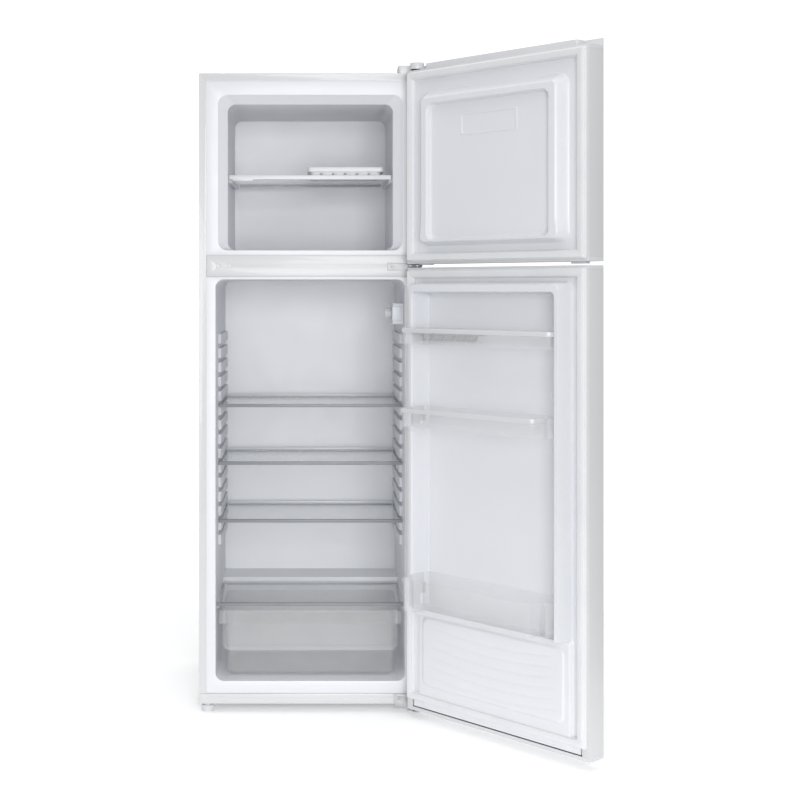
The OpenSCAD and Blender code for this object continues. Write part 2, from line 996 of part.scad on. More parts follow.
module freezer_tray() {
  z = fz_shelf_z + 0.1;
  color(white)
    difference() {
      union() {
        xy(z, 24)
          rrect([0, 64], [174, 200], 8);
        xy(z + 14, 11)
          rrect([-7, 58], [182, 206], 8);
      }
      xy(z + 2, 30)
        rrect([2, 66], [172, 198], 6);
      for (x = [27 : 29.6 : 150])
        translate([x, 80, z + 8])
          rotate([90, 0, 0])
            cylinder(r = 3.1, h = 30, $fn = 24);
    }
}

// ---------- doors, drawn shut and swung open ----------

module door_plan(g) {
  r = door_r - g;
  translate([-hw + g, door_out + g + r])
    square([2 * (hw - g), door_t - 2 * g - r]);
  translate([-hw + g + r, door_out + g])
    square([2 * (hw - g - r), door_t - 2 * g]);
  for (x = [-hw + g + r, hw - g - r])
    translate([x, door_out + g + r])
      circle(r);
}

module door_panel(z0, z1) {
  difference() {
    xy(z0, z1 - z0)
      door_plan(0);
    xy(z0 - 1, z1 - z0 + 2)
      door_plan(sheet);
    box([front_lip - hw, door_in - 3, z0 - 1], [hw - front_lip, 0, z1 + 1]);
  }
}

module bush_bore(z0, z1) {
  translate([hx, hy, z0])
    cylinder(r = pin_r + pin_play, h = z1 - z0);
}

module end_cap(z0, z1, open_up) {
  difference() {
    union() {
      difference() {
        xy(z0, z1 - z0)
          door_plan(0);
        xy(open_up ? z0 + 2.5 : z0 - 1, z1 - z0 - 1.5)
          door_plan(2.5);
      }
      translate([hx, hy, open_up ? z0 : z1 - 26])
        cylinder(r = 8.5, h = 26);
    }
    bush_bore(z0 - 30, z1 + 30);
  }
}

module door_foam(z0, z1, a, b, inner) {
  difference() {
    box([1.2 - hw, door_out + 1.2, z0], [hw - 1.2, inner, z1]);
    for (x = [-hw, hw - door_r])
      box([x, door_out, z0 - 1], [x + door_r, door_out + door_r, z1 + 1]);
    translate([hx, hy, a])
      cylinder(r = 9, h = b - a);
  }
}

module door_ring(z0, z1, ix, iz, w, r, y0, t) {
  xz(y0, t)
    difference() {
      rrect([ix - hw, z0 + iz], [hw - ix, z1 - iz], r);
      rrect([w - hw, z0 + w], [hw - w, z1 - w], r + 1);
    }
}

module door_gasket(z0, z1) {
  y0 = door_in + 0.05;
  color([0.86, 0.87, 0.88])
    difference() {
      union() {
        door_ring(z0, z1, 6, 5, 27, 4, y0, seal_gap - 3.6);
        door_ring(z0, z1, 9.5, 8, 25.5, 4, y0, seal_gap - 0.6);
      }
      door_ring(z0, z1, 15, 14, 19, 4, door_in + 7, 10);
    }
}

module freezer_door_panel() {
  color(white)
    swung()
      door_panel(zd_z0 + cap_h, zd_z1 - cap_h);
}

module freezer_door_bottom_cap() {
  color(white)
    swung() {
      end_cap(zd_z0, zd_z0 + cap_h, true);
      box([17 - hw, hy - 6, zd_z0 - 5], [57 - hw, hy + 8, zd_z0]);
      box([hx - 50, hy - 6, zd_z0 - 2.4], [hx - 15.5, hy + 8, zd_z0]);
    }
}

module freezer_door_top_cap() {
  color(white)
    swung()
      difference() {
        union() {
          end_cap(zd_z1 - cap_h, zd_z1, false);
          xy(zd_z1 - 1, zd_cap - zd_z1 + 1)
            intersection() {
              door_plan(0);
              translate([-hw, door_out])
                square([width, 6]);
            }
          xy(zd_z1 - 1, zd_cap - zd_z1)
            rrect([44 - hw, door_out + 3], [hw - 44, hy + 3], 5);
        }
        xy(zd_z1 - 12, zd_cap - zd_z1 + 9)
          rrect([47 - hw, door_out + 6], [hw - 47, hy], 3);
      }
}

module freezer_door_foam() {
  color(foam_col)
    swung()
      difference() {
        union() {
          door_foam(zd_z0 + cap_h + 0.2, zd_z1 - cap_h - 0.2, zd_z0, zd_z0 + 27,
                    door_in - liner_t - 0.2);
          box([89 - hw, door_in - 6, zd_z0 + 59], [hw - 89, fz_floor_y - liner_t - 0.2, zd_z1 - 92]);
        }
        translate([hx, hy, zd_z1 - 27])
          cylinder(r = 9, h = 30);
      }
}

// Raised part of the freezer door liner, shrunk by g on every side.
module freezer_dyke(g, y0) {
  hull() {
    xz(y0, eps)
      rrect([51 - hw + g, zd_z0 + 41 + g], [hw - 51 - g, zd_z1 - 54.5 - g], 28 - g);
    xz(fz_face_y - g - eps, eps)
      rrect([72.5 - hw + g, zd_z0 + 48 + g], [hw - 72.5 - g, zd_z1 - 76.5 - g], 24 - g);
  }
}

module freezer_door_liner() {
  color(liner_white)
    swung() {
      difference() {
        union() {
          xz(door_in - liner_t, liner_t)
            translate([22 - hw, zd_z0 + 12])
              square([width - 44, zd_z1 - zd_z0 - 24]);
          freezer_dyke(0, door_in - 1);
        }
        xz(fz_floor_y, 60)
          rrect([89 - hw, zd_z0 + 54], [hw - 89, zd_z1 - 88.5], 20);
        difference() {
          freezer_dyke(liner_t, door_in - liner_t - 1);
          xz(fz_floor_y - liner_t, 60)
            rrect([86.5 - hw, zd_z0 + 51.5], [hw - 86.5, zd_z1 - 86], 22);
        }
      }
      xz(fz_floor_y - 0.5, 1.7)
        difference() {
          rrect([-83, 1394], [82, 1440], 3);
          rrect([-81, 1396], [80, 1438], 2);
        }
    }
}

module freezer_door_gasket() {
  swung()
    door_gasket(zd_z0, zd_z1);
}

module fridge_door_panel() {
  color(white)
    swung()
      door_panel(fd_z0 + cap_h, fd_z1 - cap_h);
}

module fridge_door_top_cap() {
  color(white)
    swung()
      end_cap(fd_z1 - cap_h, fd_z1, false);
}

module fridge_door_bottom_cap() {
  color(white)
    swung() {
      end_cap(fd_z0, fd_z0 + cap_h, true);
      for (x = [-hw + 37, hw - 60])
        box([x - 14, hy - 6, fd_z0 - 4], [x + 14, hy + 8, fd_z0]);
    }
}

module fridge_door_foam() {
  color(foam_col)
    swung()
      difference() {
        union() {
          door_foam(fd_z0 + cap_h + 0.2, fd_z1 - cap_h - 0.2, fd_z0, fd_z0 + 27,
                    recess_y - 3);
          both_sides()
            box([hw - dyke_in + 2.6, recess_y - 3 + seam, lower_panel_z + 10],
                [hw - dyke_out - 7, door_in + dyke_h - 4, fr_z1 - 40]);
        }
        translate([hx, hy, fd_z1 - 27])
          cylinder(r = 9, h = 30);
      }
}

module bin_lug(z) {
  for (m = [0, 1])
    mirror([m, 0, 0])
      box([hw - dyke_in - 6.8, -2, z], [hw - dyke_in + 1, 8, z + 14]);
}

module fridge_door_liner() {
  z0 = fd_z0;
  z1 = fd_z1;
  top = fr_z1 - 7;
  face = door_in + dyke_h;
  low_face = door_in + 10;
  color(liner_white)
    swung() {
      difference() {
        union() {
          xz(door_in - liner_t, liner_t)
            translate([22 - hw, z0 + 12])
              square([width - 44, z1 - z0 - 24]);
          xz(recess_y - liner_t, face - recess_y + liner_t)
            rrect([dyke_out - hw, lower_panel_z - 6], [hw - dyke_out, top], 16);
          xz(recess_y - liner_t, low_face - recess_y + liner_t)
            rrect([40 - hw, z0 + 51], [hw - 40, lower_panel_z], 24);
        }
        xz(recess_y, 80)
          rrect([dyke_in - hw, lower_panel_z], [hw - dyke_in, top - 22], 12);
        xz(recess_y - 10, face - liner_t - recess_y + 10)
          difference() {
            rrect([dyke_out + liner_t - hw, lower_panel_z - 3.5],
                  [hw - dyke_out - liner_t, top - liner_t], 14);
            rrect([dyke_in - liner_t - hw, lower_panel_z - liner_t],
                  [hw - dyke_in + liner_t, top - 22 + liner_t], 14);
            translate([-hw, 0])
              square([width, lower_panel_z + 1]);
          }
        xz(recess_y - 10, low_face - liner_t - recess_y + 10)
          rrect([40 + liner_t - hw, z0 + 51 + liner_t],
                [hw - 40 - liner_t, lower_panel_z - 9], 22);
        box([-hw, low_face, 0], [hw, face + 5, lower_panel_z]);
        for (k = [0 : 4])
          xz(low_face - 0.8, 2)
            rrect([-190 + k * 8, 105 + k * 26], [190 - k * 8, 109 + k * 26], 1.9);
      }
      bin_lug(egg_z + 14);
      bin_lug(mid_z + 18);
      bin_lug(bottle_z + 36);
    }
}

module fridge_door_gasket() {
  swung()
    door_gasket(fd_z0 + 22.5, fd_z1);
}

// ---------- door bins, drawn shut and swung with the door ----------

// Plan outline of a bin: b is its reach from the hinge axis line,
// e the end inset at its front, w the depth where the sides start to turn.
module bin_plan(b, e, w, g) {
  yb = recess_y + 0.6 + g;
  xi = hw - dyke_in - 3.6 - g;
  xe = hw - e - g;
  polygon([
    [-xi, yb], [xi, yb], [xi, hy + w], [xe, hy + w + 6 + g],
    [xe, hy + b - 6 - g], [xe - 6, hy + b - g], [6 - xe, hy + b - g],
    [-xe, hy + b - 6 - g], [-xe, hy + w + 6 + g], [-xi, hy + w]
  ]);
}

module bin_slots(z) {
  for (m = [0, 1])
    mirror([m, 0, 0])
      box([hw - dyke_in - 7.5, -3, z - 60], [hw - dyke_in, 9, z + 14.4]);
}

module bin_shell(z, h, b, e, w, lug, rail) {
  difference() {
    union() {
      difference() {
        union() {
          xy(z, h)
            bin_plan(b - 2, e + 2, w, 0);
          if (rail > 0)
            xy(z + h - rail, rail)
              bin_plan(b, e, w, 0);
        }
        xy(z + 2.4, h)
          bin_plan(b - 2, e + 2, w, 2.2);
      }
      intersection() {
        bin_hooks(z, lug);
        xy(z, h)
          bin_plan(b - 2, e + 2, w, 0);
      }
    }
    bin_slots(z + lug);
  }
}

// Opaque strip along the front of a bin's rim.
module bin_rail(z, h, b, e, w) {
  xy(z + h - 10.5, 10.5)
    difference() {
      intersection() {
        bin_plan(b, e, w, 0);
        translate([-hw, hy + w + 8])
          square([width, 200]);
      }
      bin_plan(b - 1.94, e + 1.94, w - 0.2, 0);
    }
}

module bin_hooks(z, lug) {
  for (m = [0, 1])
    mirror([m, 0, 0])
      box([hw - dyke_in - 9.5, -5, z + lug - 8], [hw - dyke_in - 3.5, 11, z + lug + 17]);
}

module egg_bin() {
  color(clear)
    swung()
      bin_shell(egg_z, egg_h, 93, 49, 69, 14, 0);
}

module egg_bin_rail() {
  color(white)
    swung()
      bin_rail(egg_z, egg_h, 93, 49, 69);
}

module egg_tray() {
  z = egg_z + 8;
  color(clear)
    swung()
      difference() {
        union() {
          xy(z + 14, 2)
            rrect([20, recess_y + 6], [198, 52], 6);
          for (k = [0 : 4])
            translate([38 + k * 35, 16, z])
              cylinder(r1 = 11, r2 = 16.5, h = 16);
        }
        for (k = [0 : 4])
          translate([38 + k * 35, 16, z + 1.5])
            cylinder(r1 = 10, r2 = 15.7, h = 16.01);
      }
}

module middle_bin() {
  color(clear)
    swung()
      bin_shell(mid_z, mid_h, 119, 72.6, 70, 18, 0);
}

module middle_bin_rail() {
  color(white)
    swung()
      bin_rail(mid_z, mid_h, 119, 72.6, 70);
}

module bottle_bin() {
  color(clear)
    swung()
      bin_shell(bottle_z, bottle_h, 124, 80, 76, 36, 9);
}

outer_shell();
back_panel();
insulation();
freezer_liner();
fridge_liner();
front_crossbar();
base_rail();
bottom_plate();
compressor_base();
rear_feet();
compressor();
compressor_grommets();
relay_cover();
condenser();
gas_pipes();
evaporation_pan();
cord_gland();
evaporator();
top_hinge();
top_hinge_cover();
middle_hinge();
bottom_hinge();
hinge_screws();
hole_plugs();
control_box();
lamp_lens();
lamp_bulb();
thermostat_dial();
foot_left();
foot_right();
shelf_high_glass();
shelf_high_trim();
shelf_middle_glass();
shelf_middle_trim();
shelf_low_glass();
shelf_low_trim();
cover_glass();
cover_trim();
crisper();
freezer_shelf_plate();
freezer_shelf_trim();
freezer_tray();
freezer_door_panel();
freezer_door_top_cap();
freezer_door_bottom_cap();
freezer_door_liner();
freezer_door_foam();
freezer_door_gasket();
fridge_door_panel();
fridge_door_top_cap();
fridge_door_bottom_cap();
fridge_door_liner();
fridge_door_foam();
fridge_door_gasket();
egg_bin();
egg_bin_rail();
egg_tray();
middle_bin();
middle_bin_rail();
bottle_bin();
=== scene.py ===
import bpy
import bmesh
import json
import math
from mathutils import Matrix, Vector


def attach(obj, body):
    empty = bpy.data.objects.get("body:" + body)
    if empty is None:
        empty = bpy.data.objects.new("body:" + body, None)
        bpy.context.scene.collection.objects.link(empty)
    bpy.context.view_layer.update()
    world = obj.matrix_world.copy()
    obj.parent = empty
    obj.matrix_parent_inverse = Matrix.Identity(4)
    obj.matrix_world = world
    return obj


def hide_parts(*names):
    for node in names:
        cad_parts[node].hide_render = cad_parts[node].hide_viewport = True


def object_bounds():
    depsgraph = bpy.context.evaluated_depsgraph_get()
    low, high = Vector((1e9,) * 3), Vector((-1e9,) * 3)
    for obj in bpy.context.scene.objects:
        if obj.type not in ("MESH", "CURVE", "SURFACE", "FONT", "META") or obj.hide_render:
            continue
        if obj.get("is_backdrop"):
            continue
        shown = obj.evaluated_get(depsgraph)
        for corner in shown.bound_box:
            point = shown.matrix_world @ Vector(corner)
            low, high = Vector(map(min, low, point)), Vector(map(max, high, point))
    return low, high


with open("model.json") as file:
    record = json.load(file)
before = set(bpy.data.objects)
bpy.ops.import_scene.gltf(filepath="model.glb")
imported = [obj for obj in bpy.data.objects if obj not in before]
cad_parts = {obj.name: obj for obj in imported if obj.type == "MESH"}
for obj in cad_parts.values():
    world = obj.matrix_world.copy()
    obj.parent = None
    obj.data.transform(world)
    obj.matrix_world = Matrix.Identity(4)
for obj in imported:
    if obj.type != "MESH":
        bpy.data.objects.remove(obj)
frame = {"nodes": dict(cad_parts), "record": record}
cad_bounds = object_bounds()
nodes = frame["nodes"]
record = frame["record"]
scene = bpy.context.scene
scene.view_settings.view_transform = "Standard"
MM = 0.001


# ---------------------------------------------------------------- camera

cam_data = bpy.data.cameras.new("camera")
camera = bpy.data.objects.new("camera", cam_data)
scene.collection.objects.link(camera)
camera.location = (-0.00626, -3.5627, 1.038)  # about chest height, level
camera.rotation_euler = (math.pi / 2, 0, 0)
cam_data.sensor_width = 36.0
cam_data.lens = 65.6325
cam_data.shift_x = 0.11525
cam_data.shift_y = -0.1399
cam_data.clip_end = 60
cam_data.dof.use_dof = False
scene.camera = camera


# ---------------------------------------------------------------- materials

def new_tree(name):
    m = bpy.data.materials.new(name)
    m.use_nodes = True
    nt = m.node_tree
    nt.nodes.clear()
    out = nt.nodes.new("ShaderNodeOutputMaterial")
    bsdf = nt.nodes.new("ShaderNodeBsdfPrincipled")
    nt.links.new(bsdf.outputs[0], out.inputs[0])
    return m, nt, bsdf


def noise(nt, scale, detail):
    """Noise in the object's own coordinates; scale counts its patches per metre."""
    coord = nt.nodes.new("ShaderNodeTexCoord")
    tex = nt.nodes.new("ShaderNodeTexNoise")
    tex.inputs["Scale"].default_value = scale
    tex.inputs["Detail"].default_value = detail
    tex.inputs["Roughness"].default_value = 0.5
    nt.links.new(coord.outputs["Object"], tex.inputs["Vector"])
    return tex.outputs["Fac"]


def ramp(nt, fac, low, high, a=0.3, b=0.7):
    r = nt.nodes.new("ShaderNodeValToRGB")
    r.color_ramp.elements[0].position = a
    r.color_ramp.elements[1].position = b
    r.color_ramp.elements[0].color = (*low, 1)
    r.color_ramp.elements[1].color = (*high, 1)
    nt.links.new(fac, r.inputs[0])
    return r.outputs[0]


def spread(nt, fac, low, high):
    r = nt.nodes.new("ShaderNodeMapRange")
    r.inputs["To Min"].default_value = low
    r.inputs["To Max"].default_value = high
    nt.links.new(fac, r.inputs["Value"])
    return r.outputs[0]


def bump(nt, bsdf, fac, strength, distance):
    b = nt.nodes.new("ShaderNodeBump")
    b.inputs["Strength"].default_value = strength
    b.inputs["Distance"].default_value = distance
    nt.links.new(fac, b.inputs["Height"])
    nt.links.new(b.outputs[0], bsdf.inputs["Normal"])


def surface(name, low, high, rough, scale=6.0, grain=400.0, depth=0.0001, strength=0.2, **sockets):
    """Opaque surface: colour and roughness wander between two values, with a fine grain."""
    m, nt, bsdf = new_tree(name)
    nt.links.new(ramp(nt, noise(nt, scale, 4.0), low, high), bsdf.inputs["Base Color"])
    nt.links.new(spread(nt, noise(nt, scale * 5, 3.0), *rough), bsdf.inputs["Roughness"])
    bump(nt, bsdf, noise(nt, grain, 2.0), strength, depth)
    for key, value in sockets.items():
        bsdf.inputs[key.replace("_", " ")].default_value = value
    return m


CLEAR_SCALE = 8.0
CLEAR_GRAIN_DEPTH = 0.0003


def clear(name, low, high, alpha, rough, grain=60.0, strength=0.05):
    """Clear sheet: mostly see-through, with its own faint body colour and gloss."""
    m, nt, bsdf = new_tree(name)
    nt.links.new(ramp(nt, noise(nt, CLEAR_SCALE, 3.0), low, high), bsdf.inputs["Base Color"])
    nt.links.new(spread(nt, noise(nt, CLEAR_SCALE * 4, 3.0), *rough), bsdf.inputs["Roughness"])
    nt.links.new(spread(nt, noise(nt, CLEAR_SCALE * 2, 2.0), *alpha), bsdf.inputs["Alpha"])
    bump(nt, bsdf, noise(nt, grain, 2.0), strength, CLEAR_GRAIN_DEPTH)
    return m


TRIM_PAINTED_LIGHT_Y = (0.15, 0.2)     # y where shelf edging turns from dark to pale; the pale rear is painted light against the shade it sits in
TRIM_TO_FLOOR = (0.07, 0.06)         # z where it turns pale again
TRIM_MOTTLE = 0.12


def between(nt, coordinate, limits):
    """Goes from 0 to 1 as the coordinate goes from one limit to the other."""
    m = nt.nodes.new("ShaderNodeMapRange")
    m.inputs["From Min"].default_value, m.inputs["From Max"].default_value = limits
    nt.links.new(coordinate, m.inputs["Value"])
    return m.outputs[0]


def trim_with_painted_light(name, front, rear, rough):
    """Shelf edging: dark at the front strip, pale at the rear one and near the floor; the pale rear
    is painted light that lifts the shade the rear strip sits in.
    """
    m, nt, bsdf = new_tree(name)
    split = nt.nodes.new("ShaderNodeSeparateXYZ")
    nt.links.new(nt.nodes.new("ShaderNodeTexCoord").outputs["Object"], split.inputs[0])
    # Painted light: the y part paints the rear strip pale to lift its shade; the z part makes pieces
    # near the floor pale
    pale = nt.nodes.new("ShaderNodeMath")
    pale.operation = "MAXIMUM"
    nt.links.new(between(nt, split.outputs["Y"], TRIM_PAINTED_LIGHT_Y), pale.inputs[0])
    nt.links.new(between(nt, split.outputs["Z"], TRIM_TO_FLOOR), pale.inputs[1])
    grain = nt.nodes.new("ShaderNodeMath")
    grain.operation = "MULTIPLY_ADD"
    grain.inputs[1].default_value = TRIM_MOTTLE
    nt.links.new(noise(nt, 20, 3.0), grain.inputs[0])
    nt.links.new(pale.outputs[0], grain.inputs[2])
    nt.links.new(ramp(nt, grain.outputs[0], front, rear, 0.0, 1.0), bsdf.inputs["Base Color"])
    nt.links.new(spread(nt, noise(nt, 60, 3.0), *rough), bsdf.inputs["Roughness"])
    bump(nt, bsdf, noise(nt, 900, 2.0), 0.2, 0.00005)
    return m


MAT = {
    "steel_white": surface("white_enamel", (0.62, 0.625, 0.635), (0.632, 0.637, 0.645),
                           (0.36, 0.4),
                           scale=3, grain=700, depth=0.00002, strength=0.05, Coat_Weight=0.15),
    "zinc_steel": surface("zinc_plate", (0.4, 0.405, 0.42), (0.5, 0.505, 0.52), (0.5, 0.62),
                          scale=30, grain=260, depth=0.00005, strength=0.3, Metallic=1.0),
    "black_steel": surface("black_enamel", (0.012, 0.012, 0.014), (0.03, 0.03, 0.032), (0.3, 0.45),
                           scale=20, grain=500, depth=0.00006, strength=0.3),
    "foam": surface("rigid_foam", (0.82, 0.7, 0.42), (0.9, 0.8, 0.55), (0.8, 0.95),
                    scale=25, grain=300, depth=0.0008, strength=0.6),
    "liner_plastic": surface("moulded_liner", (0.715, 0.725, 0.755), (0.735, 0.745, 0.775),
                             (0.3, 0.42),
                             scale=4, grain=700, depth=0.00005, strength=0.12),
    "white_plastic": surface("white_plastic", (0.64, 0.645, 0.665), (0.665, 0.67, 0.685),
                             (0.28, 0.38),
                             scale=8, grain=800, depth=0.00004, strength=0.15),
    # shelf edging, with painted light on its rear strip
    "grey_plastic": trim_with_painted_light("grey_trim_painted_light", (0.215, 0.22, 0.24), (0.66, 0.67, 0.69), (0.3, 0.42)),
    "black_plastic": surface("black_plastic", (0.012, 0.012, 0.013), (0.028, 0.028, 0.03),
                             (0.45, 0.6),
                             scale=20, grain=900, depth=0.0001, strength=0.3),
    "black_rubber": surface("black_rubber", (0.01, 0.01, 0.011), (0.022, 0.022, 0.023),
                            (0.65, 0.8),
                            scale=30, grain=700, depth=0.0001, strength=0.3),
    "seal_rubber": surface("seal_vinyl", (0.72, 0.73, 0.745), (0.75, 0.76, 0.77), (0.45, 0.6),
                           scale=12, grain=900, depth=0.00008, strength=0.2),
    "copper": surface("copper_tube", (0.6, 0.26, 0.12), (0.78, 0.4, 0.22), (0.25, 0.42),
                      scale=30, grain=300, depth=0.00004, strength=0.2, Metallic=1.0),
    "aluminium": surface("aluminium_plate", (0.7, 0.71, 0.72), (0.82, 0.83, 0.84), (0.3, 0.45),
                         scale=20, grain=200, depth=0.00005, strength=0.3, Metallic=1.0),
    "shelf_glass": clear("shelf_glass", (0.74, 0.79, 0.79), (0.82, 0.86, 0.86), (0.12, 0.16),
                         (0.03, 0.07),
                         grain=15.0, strength=0.01),
    "clear_plastic": clear("clear_plastic", (0.9, 0.91, 0.93), (0.95, 0.96, 0.97), (0.11, 0.15),
                           (0.08, 0.14)),
    "frosted_plastic": clear("frosted_plastic", (0.74, 0.77, 0.81), (0.8, 0.83, 0.86),
                             (0.86, 0.92),
                             (0.3, 0.4), grain=200.0),
    "bulb_glass": surface("bulb_glass", (0.85, 0.83, 0.76), (0.9, 0.88, 0.8), (0.2, 0.3),
                          scale=40),
}

slot_of = {s["node"]: s["material_slot"] for s in record["subparts"]}


# ---------------------------------------------------------------- CAD nodes

# Nodes that keep their mesh as it comes: hidden ones, and the crisper, rounded in CAD already
PLAIN = {"insulation", "freezer_door_foam", "fridge_door_foam", "evaporator", "condenser",
         "crisper"}
# Many ribs cross this one's flat faces, so those are not dissolved into one
PIERCED = {"fridge_liner"}
# Edge rounding in mm, where it isn't the usual one
ROUND = {"outer_shell": 0.3, "freezer_liner": 2.4, "fridge_liner": 0.9, "freezer_door_panel": 0.3,
         "fridge_door_panel": 0.3, "back_panel": 0.3, "top_hinge_cover": 2.0,
         "front_crossbar": 0.5, "base_rail": 0.5, "bottom_plate": 0.3, "evaporation_pan": 0.8,
         "hole_plugs": 0.2, "hinge_screws": 0.2, "freezer_shelf_trim": 1.8, "freezer_tray": 0.9,
         "thermostat_dial": 0.7, "egg_tray": 0.5, "control_box": 0.9}
USUAL_ROUND = 0.8
WELD = 0.00001
FLAT_ANGLE = math.radians(0.4)
BEVEL_ANGLE = math.radians(32)
SHARP_ANGLE = math.radians(30)


def soften(obj, width):
    """Rounds the edges by width in mm, after welding the mesh and merging its flat faces."""
    obj.modifiers.new("weld", "WELD").merge_threshold = WELD
    if obj.name not in PIERCED:
        flat = obj.modifiers.new("dissolve", "DECIMATE")
        flat.decimate_type = "DISSOLVE"
        flat.angle_limit = FLAT_ANGLE
    bevel = obj.modifiers.new("bevel", "BEVEL")
    bevel.width = width / 1000
    bevel.segments = 3
    bevel.limit_method = "ANGLE"
    bevel.angle_limit = BEVEL_ANGLE
    bevel.miter_outer = "MITER_ARC"


for name, obj in nodes.items():
    obj.data.materials.clear()
    obj.data.materials.append(MAT[slot_of[name]])
    obj.data.polygons.foreach_set("use_smooth", [True] * len(obj.data.polygons))
    obj.data.set_sharp_from_angle(angle=SHARP_ANGLE)
    if name not in PLAIN:
        soften(obj, ROUND.get(name, USUAL_ROUND))


# ---------------------------------------------------------------- mesh helpers

# Both doors turn on one line by the same angle: pieces are drawn on the shut door, then swung
hinge = next(j for j in record["behaviour"]["joints"] if j["name"] == "fridge_door_hinge")
AXIS = Vector((hinge["pos_m"][0], hinge["pos_m"][1], 0))
SWING = (Matrix.Translation(AXIS)
         @ Matrix.Rotation(-math.radians(hinge["range_deg"][0]), 4, "Z")
         @ Matrix.Translation(-AXIS))
SHUT = SWING.inverted()


def shut_box(node):
    """A door node's lowest and highest corners with the door shut."""
    pts = [SHUT @ v.co for v in nodes[node].data.vertices]
    return (Vector([min(p[i] for p in pts) for i in range(3)]),
            Vector([max(p[i] for p in pts) for i in range(3)]))


MERGE = 0.000005


def make(name, verts, faces, mat, body, sharp):
    """A piece drawn on the shut door, with edges above the angle sharp kept sharp."""
    mesh = bpy.data.meshes.new(name)
    mesh.from_pydata([tuple(v) for v in verts], [], faces)
    mesh.transform(SWING)
    bm = bmesh.new()
    bm.from_mesh(mesh)
    bmesh.ops.remove_doubles(bm, verts=bm.verts, dist=MERGE)
    bmesh.ops.recalc_face_normals(bm, faces=bm.faces)
    bm.to_mesh(mesh)
    bm.free()
    obj = bpy.data.objects.new(name, mesh)
    scene.collection.objects.link(obj)
    mesh.materials.append(MAT[mat])
    mesh.polygons.foreach_set("use_smooth", [True] * len(mesh.polygons))
    mesh.set_sharp_from_angle(angle=math.radians(sharp))
    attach(obj, body)
    return obj


CORNER_STEPS = 6
LEAST_RADIUS = 0.0006


def rounded_path(hx, hz, r):
    """Points round a rounded rectangle about the origin, from half sizes and a corner radius."""
    pts = []
    corners = ((hx - r, hz - r, 0), (r - hx, hz - r, 90), (r - hx, r - hz, 180),
               (hx - r, r - hz, 270))
    for cx, cz, a0 in corners:
        for k in range(CORNER_STEPS + 1):
            a = math.radians(a0 + 90 * k / CORNER_STEPS)
            pts.append((cx + r * math.cos(a), cz + r * math.sin(a)))
    return pts


def ring(cx, cz, hx, hz, r, profile):
    """Rounded rectangles in the X-Z plane, one per (inset, y) of the profile, joined up."""
    verts, faces, count = [], [], 4 * (CORNER_STEPS + 1)
    for inset, y in profile:
        path = rounded_path(hx - inset, hz - inset, max(r - inset, LEAST_RADIUS))
        verts += [(cx + x, y, cz + z) for x, z in path]
    rows = len(profile)
    for i in range(rows):
        j = (i + 1) % rows
        for k in range(count):
            m = (k + 1) % count
            faces.append((i * count + k, i * count + m, j * count + m, j * count + k))
    return verts, faces


def sdf(x, z, cx, cz, hx, hz, r):
    """Distance to a rounded rectangle, negative inside."""
    dx, dz = abs(x - cx) - hx + r, abs(z - cz) - hz + r
    return math.hypot(max(dx, 0), max(dz, 0)) + min(max(dx, dz), 0) - r


def rise(d, width):
    """Smooth step from 0 at an outline to 1 where the distance d is width inside it."""
    t = min(max(-d / width, 0), 1)
    return t * t * (3 - 2 * t)


def steps(lo, hi, step, fine, fine_step):
    """Values from lo to hi, closer together within the fine ranges."""
    out, v = [], lo
    while v < hi - 1e-9:
        out.append(v)
        near = any(a <= v < b for a, b in fine)
        ahead = [a for a, b in fine if v < a]
        v += fine_step if near else step
        if not near and ahead and v > min(ahead):
            v = min(ahead)
    out.append(hi)
    return out


SHEET = 0.0025


def relief(name, xs, zs, height, body):
    """A sheet over X-Z whose front is at y = height(x, z), closed by a back sheet and its rim."""
    nx, nz = len(xs), len(zs)
    verts = [(x, height(x, z), z) for z in zs for x in xs]
    faces = [(j * nx + i, j * nx + i + 1, (j + 1) * nx + i + 1, (j + 1) * nx + i)
             for j in range(nz - 1) for i in range(nx - 1)]
    base = len(verts)
    verts += [(x, y - SHEET, z) for x, y, z in verts[:base]]
    faces += [tuple(base + k for k in reversed(f)) for f in faces]
    rim = ([(i, 0) for i in range(nx)] + [(nx - 1, j) for j in range(1, nz)]
           + [(i, nz - 1) for i in range(nx - 2, -1, -1)] + [(0, j) for j in range(nz - 2, 0, -1)])
    ids = [j * nx + i for i, j in rim]
    for a, b in zip(ids, ids[1:] + ids[:1]):
        faces.append((a, b, base + b, base + a))
    return make(name, verts, faces, "liner_plastic", body, 50)


def both_sides(*bands):
    """The bands of x and their mirror images, from left to right."""
    return [(-b, -a) for a, b in reversed(bands)] + list(bands)


# ---------------------------------------------------------------- door liners and seals

# A seal's section: mm inwards from its outer edge, and part of its height
SEAL_SECTION = [(0.0, 0.0), (0.0, 0.30), (0.6, 0.36), (2.2, 0.40), (2.6, 0.46), (1.8, 0.52),
                (1.6, 0.60), (3.0, 0.68), (3.4, 0.92), (4.4, 1.0), (16.6, 1.0), (18.0, 0.92),
                (18.2, 0.66), (19.6, 0.56), (20.7, 0.42), (20.8, 0.0)]
SEAL_RADIUS = 0.005


def seal(name, body, node):
    lo, hi = shut_box(node)
    section = [(inset * MM, lo.y + part * (hi.y - lo.y)) for inset, part in SEAL_SECTION]
    verts, faces = ring((lo.x + hi.x) / 2, (lo.z + hi.z) / 2, (hi.x - lo.x) / 2, (hi.z - lo.z) / 2,
                        SEAL_RADIUS, section)
    obj = make(name, verts, faces, "seal_rubber", body, 40)
    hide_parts(node)


seal("freezer_seal", "freezer_door", "freezer_door_gasket")
seal("fridge_seal", "fridge_door", "fridge_door_gasket")

